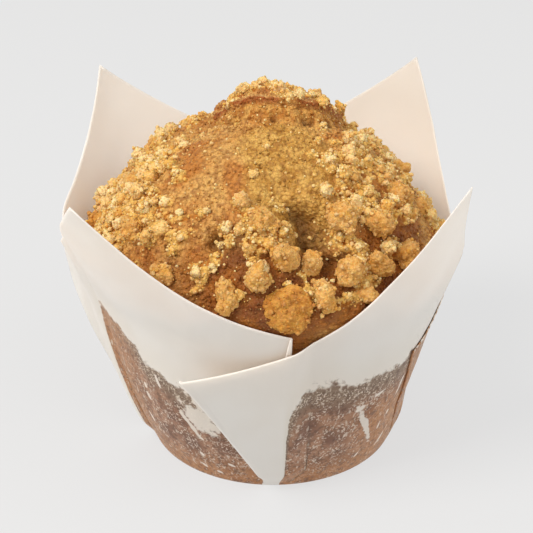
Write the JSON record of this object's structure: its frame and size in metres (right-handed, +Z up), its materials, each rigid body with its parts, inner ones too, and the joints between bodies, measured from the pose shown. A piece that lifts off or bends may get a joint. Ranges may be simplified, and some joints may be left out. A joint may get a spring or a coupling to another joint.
{
  "type": "muffin",
  "caption": "Domed muffin with crumble topping, standing in a wrapper folded from one square sheet of baking paper with raised points.",
  "frame": {"origin": "middle of the round flat base that the wrapper stands on", "axes": "+Z up through the dome, -Y towards the front pleat of the wrapper, +X to the right seen from the front"},
  "size_m": [0.0811, 0.0803, 0.0748],
  "materials": {
    "baking_paper": "matte greaseproof paper, soaked brown with fat where it touches the cake",
    "baked_cake": "baked cake, golden brown crust with pale porous crumb in the splits",
    "crumble": "baked butter crumble, rough, pale golden yellow"
  },
  "bodies": {
    "root": {"tulip_wrapper": "baking_paper", "muffin_cake": "baked_cake", "streusel_lump_01": "crumble", "streusel_lump_02": "crumble", "streusel_lump_03": "crumble", "streusel_lump_04": "crumble", "streusel_lump_05": "crumble", "streusel_lump_06": "crumble", "streusel_lump_07": "crumble", "streusel_lump_08": "crumble", "streusel_lump_09": "crumble", "streusel_lump_10": "crumble", "streusel_lump_11": "crumble", "streusel_lump_12": "crumble", "streusel_lump_13": "crumble", "streusel_lump_14": "crumble", "streusel_lump_15": "crumble", "streusel_lump_16": "crumble", "streusel_lump_17": "crumble", "streusel_lump_18": "crumble", "streusel_lump_19": "crumble", "streusel_lump_20": "crumble", "streusel_lump_21": "crumble", "streusel_lump_22": "crumble", "streusel_lump_23": "crumble", "streusel_lump_24": "crumble", "streusel_lump_25": "crumble", "streusel_lump_26": "crumble"}
  },
  "joints": []
}
